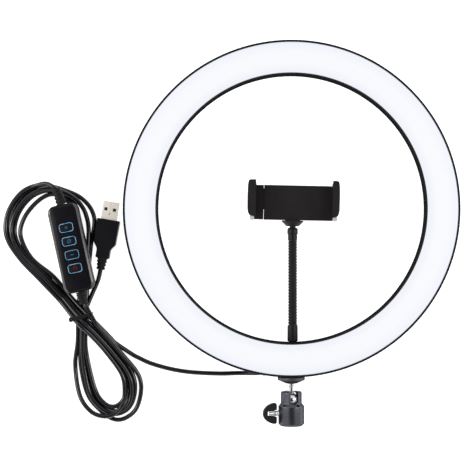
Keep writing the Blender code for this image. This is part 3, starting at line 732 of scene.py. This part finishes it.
def pad_piece(side, x, host):
    """A rubber pad with upright ribs on the inside of a jaw."""
    bm = box_mesh((x - 0.5, 3, 7), (x + 0.1, 28, 16.9))
    inward = 1 if side == "left" else -1
    for k in range(9):
        y = 4.4 + 2.75 * k
        rib = bmesh.ops.create_cube(bm, size=1.0)["verts"]
        bmesh.ops.scale(bm, vec=(0.9, 1.3, 9.4), verts=rib)
        bmesh.ops.translate(bm, vec=(x + 0.1 * inward, y, 12), verts=rib)
    new_piece(f"grip_pad_{side}", bm, host, "rubber_black", CLAMP, [f"jaw_pad_{side}"])


# ---------------------------------------------------------------- remote

def remote_pieces():
    width, height = REMOTE_SIZE
    new_piece("remote_back", back_half(width, height), "ring", "remote_black", REMOTE,
              ["remote_lower"])
    front_half(width, height)
    for label, y in BUTTON_YS.items():
        key_pieces(label, y)
    for end, side, length, lean in (("upper", 1, 13.0, 9), ("lower", -1, 9.6, 0)):
        turn = Matrix.Translation((0, side * height / 2, 0)) @ turned(lean, "Z")
        turn = turn @ turned(-90 * side, "X")
        new_piece(f"remote_strain_{end}", lathe(ribbed(4.4, 3.3, 0.3, length, 4), 40, turn), "ring",
                  "rubber_black", REMOTE, [f"remote_boot_{end}"])


def front_half(width, height):
    """The front half, bevelled all round, with wells for the keys and glossy long bevels with painted
    sheen.
    """
    levels = [(0, 0.15), (0, 3.6), (0.15, 3.95), (0.95, 4.55), (1.9, 4.95), (2.1, 5.0)]
    case = layered(width, height, REMOTE_CORNER, levels)
    face = new_piece("remote_front", case, "ring", "remote_black", REMOTE, ["remote_face"],
                     sharp=18)
    wide, tall = BUTTON_SIZE
    wells = [pillow(wide + 2 * GAP, tall + 2 * GAP, 2.3, 3.4, 6, 0.05, (0, y))
             for y in BUTTON_YS.values()]
    cut(face, wells, REMOTE)
    # The sloping long bevels get the lighter copy of the black: painted sheen where the side lights
    # fall.
    face.data.materials.append(FINISHES["remote_painted_sheen"])
    across = REMOTE.to_3x3() @ Vector((1, 0, 0))
    for polygon in face.data.polygons:
        sloping = 0.28 < abs(polygon.normal.dot(across)) < 0.75
        if sloping and polygon.normal.z > 0.6:
            polygon.material_index = 1


def key_pieces(label, y):
    """A key with its raised outline and its sign, which all press together."""
    wide, tall = BUTTON_SIZE
    body = f"button_{label}"
    key = pillow(wide, tall, 2.1, 0.9, 5.2, 0.35, (0, y))
    new_piece(f"key_{label}", key, body, "button_black", REMOTE, [body])
    outline = outline_ring(wide - 0.9, tall - 0.9, 2.0, 0.27, y)
    new_piece(f"key_outline_{label}", outline, body, "line_blue", REMOTE, ())
    colour = "icon_red" if label == "power" else "icon_blue"
    new_piece(f"key_mark_{label}", key_mark(label, y), body, colour, REMOTE, ())


def back_half(width, height):
    """The back half of the case, rounded over at its lower edge."""
    bm = pillow(width, height, REMOTE_CORNER, 0, 4.9, 1.3)
    bm.transform(Matrix.Translation((0, 0, -0.1)) @ turned(180, "Y"))
    return bm


def ribbed(base, tip, low, high, ribs):
    """A tapering strain relief with deep grooves, from its base to its tip."""
    points = [(0, low), (base, low)]
    step = (high - low) / (ribs + 0.5)
    for k in range(ribs):
        start = low + step * (k + 0.35)
        radius = base + (tip - base) * (k + 0.3) / ribs
        points += [(radius, start), (radius * 0.84, start + 0.08 * step)]
        points += [(radius * 0.84, start + 0.38 * step), (radius * 0.98, start + 0.45 * step)]
    points += [(tip, high), (0, high)]
    return points


def outline_ring(width, height, radius, line, y):
    """A thin raised line round a key."""
    outer = rounded_rect(width, height, radius, 6, (0, y))
    inner = rounded_rect(width - 2 * line, height - 2 * line, radius - line, 6, (0, y))
    return strip(outer, inner, 5.1, 5.28)


def strip(outer, inner, low, high):
    """A flat closed band between two outlines of the same count, with thickness."""
    bm = bmesh.new()
    rows = [[bm.verts.new((x, y, z)) for x, y in edge]
            for edge, z in ((outer, low), (outer, high), (inner, high), (inner, low))]
    count = len(outer)
    for a, b in zip(rows, rows[1:] + rows[:1]):
        for k in range(count):
            n = (k + 1) % count
            bm.faces.new((a[k], a[n], b[n], b[k]))
    return bm


def key_mark(label, y):
    """The sign on a key: plus, minus, a barred circle or a power sign."""
    bm = bmesh.new()
    if label in ("plus", "minus"):
        bars = [(2.6, 0.6)] + ([(0.6, 2.6)] if label == "plus" else [])
        for width, height in bars:
            add_bar(bm, width, height, (0, y), 0)
    elif label == "mode":
        add_arc(bm, 1.35, (0, y), 20, 200)
        add_arc(bm, 1.35, (0, y), 200, 380)
        add_bar(bm, 3.6, 0.45, (0, y), 40)
    else:
        add_arc(bm, 1.3, (0, y - 0.1), -55, 235)
        add_bar(bm, 0.5, 1.5, (0, y + 1.0), 0)
    return bm


def add_bar(bm, width, height, centre, turn):
    made = bmesh.ops.create_cube(bm, size=1.0)["verts"]
    bmesh.ops.scale(bm, vec=(width, height, 0.2), verts=made)
    bmesh.ops.rotate(bm, matrix=Matrix.Rotation(math.radians(turn), 3, "Z"), verts=made)
    bmesh.ops.translate(bm, vec=(*centre, 5.2), verts=made)


def add_arc(bm, radius, centre, first, last):
    outer = arc(centre, radius + 0.22, first, last, 15)
    inner = arc(centre, radius - 0.22, last, first, 15)
    flat = slab(outer + inner, 5.1, 5.3)
    kept = bpy.data.meshes.new("part")
    flat.to_mesh(kept)
    flat.free()
    bm.from_mesh(kept)
    bpy.data.meshes.remove(kept)


# ---------------------------------------------------------------- plug and boots

def plug_pieces():
    sleeve = box_mesh((-6.3, 38.8, -2.35), (6.3, 53.3, 2.35))
    shell = new_piece("plug_sleeve", sleeve, "ring", "usb_steel", PLUG, ["usb_shell"])
    tools = [box_mesh((-5.9, 39.5, -1.95), (5.9, 54, 1.95))]
    tools += [box_mesh((x - 1.2, 45.8, 1), (x + 1.2, 48.2, 4)) for x in (-3.4, 3.4)]
    dot = lathe([(0, 4), (0.45, 4), (0.45, 1), (0, 1)], 20, Matrix.Translation((0, 43.4, 0)))
    tools.append(dot)
    cut(shell, tools, PLUG)
    round_edges(shell, 0.25)
    seam = box_mesh((-0.05, 44.0, 2.3), (0.05, 53.1, 2.37))
    new_piece("plug_sleeve_seam", seam, "ring", "socket_dark", PLUG, ())
    insulator = box_mesh((-5.7, 39.7, -1.9), (5.7, 51.6, 1.85))
    new_piece("plug_insulator", insulator, "ring", "socket_dark", PLUG, (), bevel=0.2)
    outline = [(5.3, 8.6), (5.2, 15.1), (5.9, 16.7), (8.4, 19.9), (8.8, 39.0)]
    outline = soften(outline + [(-x, y) for x, y in reversed(outline)], 0.8, closed=True, parts=3)
    grip = slab(outline, -4.0, 4.0)
    new_piece("plug_body", grip, "ring", "plug_black", PLUG, ["plug_grip"], bevel=1.1)
    boot = ribbed(4.2, 3.2, 0, 9.2, 3)
    turn = Matrix.Translation((0, 8.7, 0)) @ turned(90, "X")
    new_piece("plug_strain", lathe(boot, 40, turn), "ring", "rubber_black", PLUG, ["plug_boot"])


def ring_boot():
    turn = turned(BOOT_TURN, "Z") @ turned(-90, "Y")
    profile = [(0, 0), (2.3, 0), (2.3, 3.9), (2.9, 4.2)]
    for k in range(4):
        radius = 2.9 - 0.2 * k
        start = 5.2 + 3.2 * k
        profile += [(radius, start + 1.9), (radius - 0.55, start + 2.1)]
        profile += [(radius - 0.55, start + 2.9), (radius - 0.2, start + 3.1)]
    profile += [(2.0, 18.4), (0, 18.4)]
    at = RING @ Matrix.Translation(BOOT_AT)
    return new_piece("ring_strain", lathe(profile, 40, turn), "ring", "rubber_black", at,
                     ["cable_boot"])


# ---------------------------------------------------------------- cords

def on_curve(known, i, t, closed):
    """A point of the Catmull-Rom curve through the known ones, t of the way past i."""
    count = len(known)
    if closed:
        a, b, c, d = (known[(i + k) % count] for k in (-1, 0, 1, 2))
    else:
        a, b, c, d = (known[min(max(i + k, 0), count - 1)] for k in (-1, 0, 1, 2))
    squared = (2 * a - 5 * b + 4 * c - d) * t**2
    cubed = (3 * b - a - 3 * c + d) * t**3
    return 0.5 * (2 * b + (c - a) * t + squared + cubed)


def even_route(points, spacing):
    """Points about spacing apart on one smooth curve through the given ones."""
    known = [Vector(point) for point in points]
    made = []
    for i in range(len(known) - 1):
        parts = max(1, round((known[i + 1] - known[i]).length / spacing))
        made += [on_curve(known, i, k / parts, False) for k in range(parts)]
    return made + [known[-1]]


def hank_point(station, place, layer):
    """Where a strand's middle is, from its station, its place across and its layer."""
    i, t = int(station // 1), station % 1
    left = on_curve([Vector((*edge, lift)) for edge, _, lift in HANK], i, t, True)
    right = on_curve([Vector((*edge, 0)) for _, edge, _ in HANK], i, t, True)
    across = (right - left).xy
    pitch = (across.length - CORD_D) / (STRANDS - 1)
    rise = math.sqrt(max(0.0, CORD_D**2 - pitch**2))
    flat = left.xy + across.normalized() * (CORD_D / 2 + place * pitch)
    lift = max(left.z, LEAST_LIFT)
    return Vector((flat.x, flat.y, lift + CORD_D / 2 + layer * rise))


def winding(keys, wander):
    """Points along a strand of the hank, which drifts by up to wander places from its keys."""
    first, last = keys[0][0], keys[-1][0]
    count = round(abs(last - first) * STATION_PARTS)
    made = []
    for k in range(count + 1):
        station = first + (last - first) * k / count
        place, layer = between(keys, station)
        drift = wander * math.sin(station * 0.83) * math.cos(station * 0.37 + 1.0)
        made.append(hank_point(station, min(max(place + drift, 0), STRANDS - 1), layer))
    return made


def between(keys, station):
    """Place and layer at a station, smooth between the two keys round it."""
    for (s0, place0, layer0), (s1, place1, layer1) in zip(keys, keys[1:]):
        if min(s0, s1) <= station <= max(s0, s1):
            t = (station - s0) / (s1 - s0)
            t = t * t * (3 - 2 * t)
            return place0 + (place1 - place0) * t, layer0 + (layer1 - layer0) * t
    return keys[-1][1:]


def round_curve(name, radius, resolution, routes, finish, replaces):
    """A round cord or wire on the ring, from (points, closed) routes in millimetres."""
    curve = bpy.data.curves.new(name, "CURVE")
    curve.dimensions = "3D"
    curve.bevel_depth = radius * MM
    curve.bevel_resolution = resolution
    curve.use_fill_caps = True
    for points, closed in routes:
        spline = curve.splines.new("POLY")
        spline.points.add(len(points) - 1)
        spline.use_cyclic_u = closed
        spline.use_smooth = True
        for spot, point in zip(spline.points, points):
            spot.co = (*(point * MM), 1)
    obj = bpy.data.objects.new(name, curve)
    bpy.context.scene.collection.objects.link(obj)
    curve.materials.append(FINISHES[finish])
    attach(obj, "ring")
    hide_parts(*replaces)
    return obj


def cord_curve(name, points, replaces):
    route = (even_route(points, POINT_SPACING), False)
    return round_curve(name, CORD_D / 2, 4, [route], "cord_black", replaces)


def long_cord():
    """From the ring, four times round the hank, and into the remote's lower boot."""
    boot_root = REMOTE @ Vector((0, -REMOTE_SIZE[1] / 2, 0))
    out = Vector((math.sin(math.radians(16)), -math.cos(math.radians(16)), 0))
    arrival = [boot_root + out * distance for distance in (12.5, 9.0, 7.0)]
    arrival[0] += Vector((0.8, 0.2, 0.9))
    points = [Vector(point) for point in RING_LEAD]
    points += winding(LONG_WINDING, LONG_WANDER) + arrival
    return cord_curve("long_cord", points, ["ring_lead", "cord_hank"])


def short_cord():
    """From the remote's upper boot, part of the way round the hank, and into the plug's boot."""
    boot_root = REMOTE @ Vector((0, REMOTE_SIZE[1] / 2, 0))
    out = Vector((-math.sin(math.radians(20)), math.cos(math.radians(21)), 0))
    leaving = [boot_root + out * distance for distance in (10.0, 12.8)]
    tail = PLUG @ Vector((0, 1.5, 0))
    points = leaving + [Vector(point) for point in REMOTE_LEAD]
    points += winding(SHORT_WINDING, SHORT_WANDER)
    points += [Vector(point) for point in reversed(PLUG_LEAD[:-1])] + [tail]
    return cord_curve("short_cord", points, ["remote_lead", "plug_lead"])


def tie_piece():
    """A wire tie wound twice round the waist of the hank, with its ends twisted."""
    loop = [(-171.2, -65.8, 9), (-170.4, -65.6, 15.0), (-167.4, -64.9, 17.2), (-161, -63.4, 17.5),
            (-156.8, -62.5, 15.2), (-155.4, -62.1, 9), (-156.4, -62.2, 2.4), (-161, -63.2, 1.2),
            (-167.4, -64.7, 1.2), (-170.6, -65.6, 2.6)]
    second = [(x, y - 1.4 + 0.08 * (x + 163), z - 0.1) for x, y, z in loop]
    left_end = [(-170.4, -65.6, 15.6), (-171.6, -67.0, 16.0), (-170.4, -67.8, 16.8),
                (-169.0, -66.6, 17.4), (-170.2, -65.2, 17.8), (-171.6, -66.2, 17.6)]
    right_end = [(-157.0, -63.4, 16.0), (-155.2, -63.6, 16.0), (-154.8, -62.0, 16.4),
                 (-156.2, -61.2, 17.0), (-157.2, -62.4, 17.4), (-155.8, -63.2, 17.6)]
    routes = []
    for corners, closed in ((loop, True), (second, True), (left_end, False), (right_end, False)):
        known = [Vector(point) for point in corners]
        count = len(known) if closed else len(known) - 1
        points = [on_curve(known, i, k / TIE_PARTS, closed)
                  for i in range(count) for k in range(TIE_PARTS)]
        routes.append((points, closed))
    return round_curve("wire_tie", TIE_R, 3, routes, "rubber_black", ["twist_tie"])


def cord_pieces():
    boot = ring_boot()
    tie = tie_piece()
    long_cord()
    short_cord()


# ---------------------------------------------------------------- stage

def area_light(name, at, power):
    data = bpy.data.lights.new(name, "AREA")
    data.shape = "RECTANGLE"
    data.size, data.size_y = LIGHT_SIZE
    data.energy = power
    obj = bpy.data.objects.new(name, data)
    bpy.context.scene.collection.objects.link(obj)
    obj.location = at
    obj.rotation_euler = (Vector(LIGHT_AIM) - Vector(at)).to_track_quat("-Z", "Y").to_euler()


def floor_piece():
    """A white floor that glows, so that it looks as white as a lit backdrop."""
    bm = bmesh.new()
    bmesh.ops.create_grid(bm, x_segments=8, y_segments=8, size=FLOOR_HALF)
    mesh = bpy.data.meshes.new("floor")
    bm.to_mesh(mesh)
    bm.free()
    floor = bpy.data.objects.new("floor", mesh)
    bpy.context.scene.collection.objects.link(floor)
    white = surface("floor_finish", (0.86, 0.86, 0.86), 0.8, mottle=0.004, bump=0.0)
    shader = white.node_tree.nodes["Principled BSDF"]
    shader.inputs["Emission Color"].default_value = (1, 1, 1, 1)
    shader.inputs["Emission Strength"].default_value = FLOOR_GLOW
    mesh.materials.append(white)


def light_dome():
    """A pale dome of light with a dark round part overhead, so that gloss stays black there."""
    world = bpy.data.worlds.new("studio")
    bpy.context.scene.world = world
    world.use_nodes = True
    tree = world.node_tree
    backdrop = tree.nodes["Background"]
    backdrop.inputs["Color"].default_value = (1, 1, 1, 1)
    coords = tree.nodes.new("ShaderNodeTexCoord")
    height = tree.nodes.new("ShaderNodeVectorMath")
    height.operation = "DOT_PRODUCT"
    height.inputs[1].default_value = DARK_TOP
    fade = tree.nodes.new("ShaderNodeMapRange")
    inner, outer = (math.cos(math.radians(degrees)) for degrees in DARK_TOP_REACH)
    fade.inputs["From Min"].default_value = inner
    fade.inputs["From Max"].default_value = outer
    fade.inputs["To Min"].default_value = DOME_POWER[0]
    fade.inputs["To Max"].default_value = DOME_POWER[1]
    link(tree, coords.outputs["Generated"], height.inputs[0])
    link(tree, height.outputs["Value"], fade.inputs["Value"])
    link(tree, fade.outputs["Result"], backdrop.inputs["Strength"])


def studio():
    floor_piece()
    for name, (at, power) in SIDE_LIGHTS.items():
        area_light(name, at, power)
    light_dome()
    bpy.context.scene.view_settings.view_transform = "Standard"


def camera():
    """A camera that looks straight down."""
    data = bpy.data.cameras.new("camera")
    data.sensor_width = SENSOR_WIDTH
    data.lens = LENS
    data.shift_x = LENS_SHIFT
    data.clip_start, data.clip_end = CAMERA_RANGE
    obj = bpy.data.objects.new("camera", data)
    bpy.context.scene.collection.objects.link(obj)
    obj.location = CAMERA_AT
    bpy.context.scene.camera = obj


camera()
ring_pieces()
head_pieces()
knob_pieces()
gooseneck_pieces()
clamp_pieces()
remote_pieces()
plug_pieces()
cord_pieces()
for node, finish in NODE_FINISH.items():
    dress(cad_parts[node], finish)
studio()
